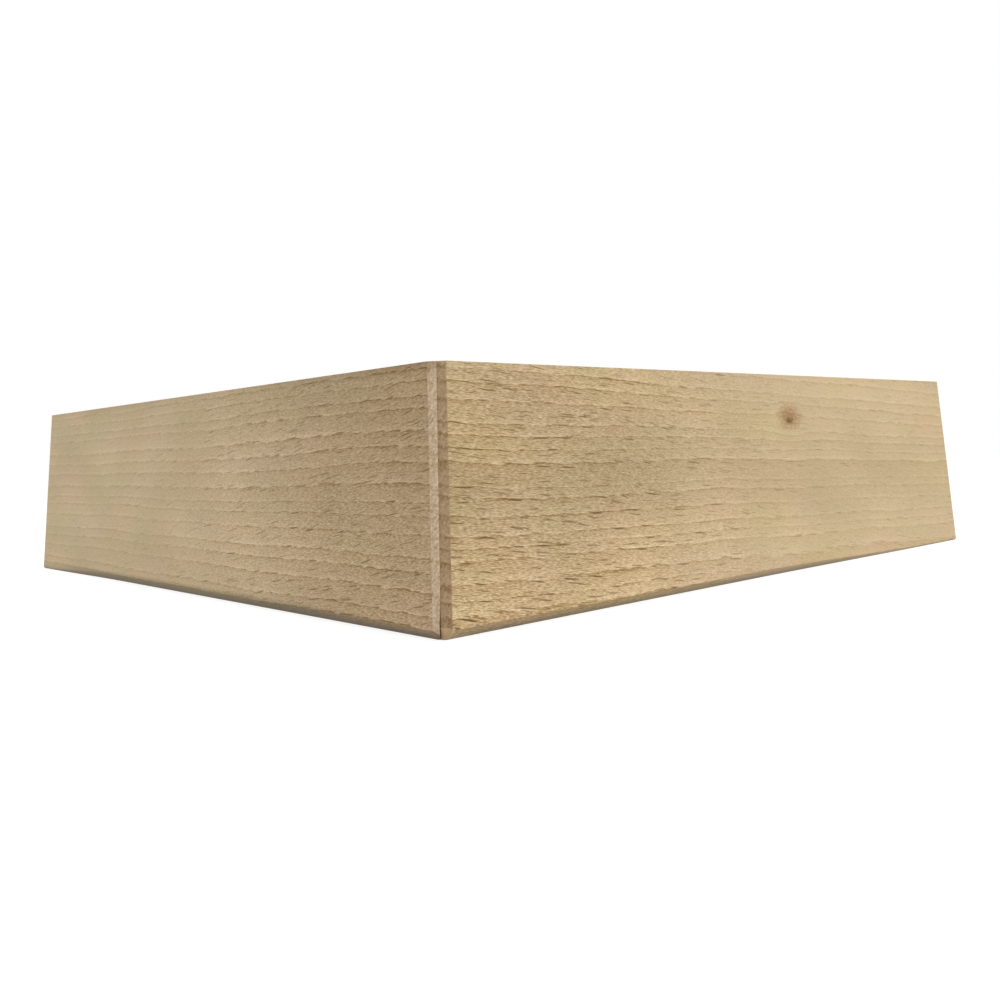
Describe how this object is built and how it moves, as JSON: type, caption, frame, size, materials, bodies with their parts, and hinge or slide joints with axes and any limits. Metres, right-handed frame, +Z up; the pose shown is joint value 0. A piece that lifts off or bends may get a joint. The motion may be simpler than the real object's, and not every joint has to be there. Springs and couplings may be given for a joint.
{
  "type": "corner furniture foot",
  "caption": "L-shaped corner foot in beech: mitred boards with chamfered outer and floor edges, stiffened by an inner corner block whose upright holes take the furniture's screws.",
  "frame": {"origin": "middle of the foot's bounding box, on the floor", "axes": "+Z up; the mitre lies in the YZ plane with the outer corner towards -Y; one arm runs to +X and +Y, the other to -X and +Y"},
  "size_m": [0.297, 0.1622, 0.05],
  "materials": {
    "beech": "satin",
    "block_beech": "matte",
    "dowel_beech": "matte",
    "zinc_steel": "satin"
  },
  "bodies": {
    "root": {"left_board": "beech", "right_board": "beech", "corner_block": "block_beech", "mitre_dowels": "dowel_beech", "block_screws": "zinc_steel"}
  },
  "joints": []
}
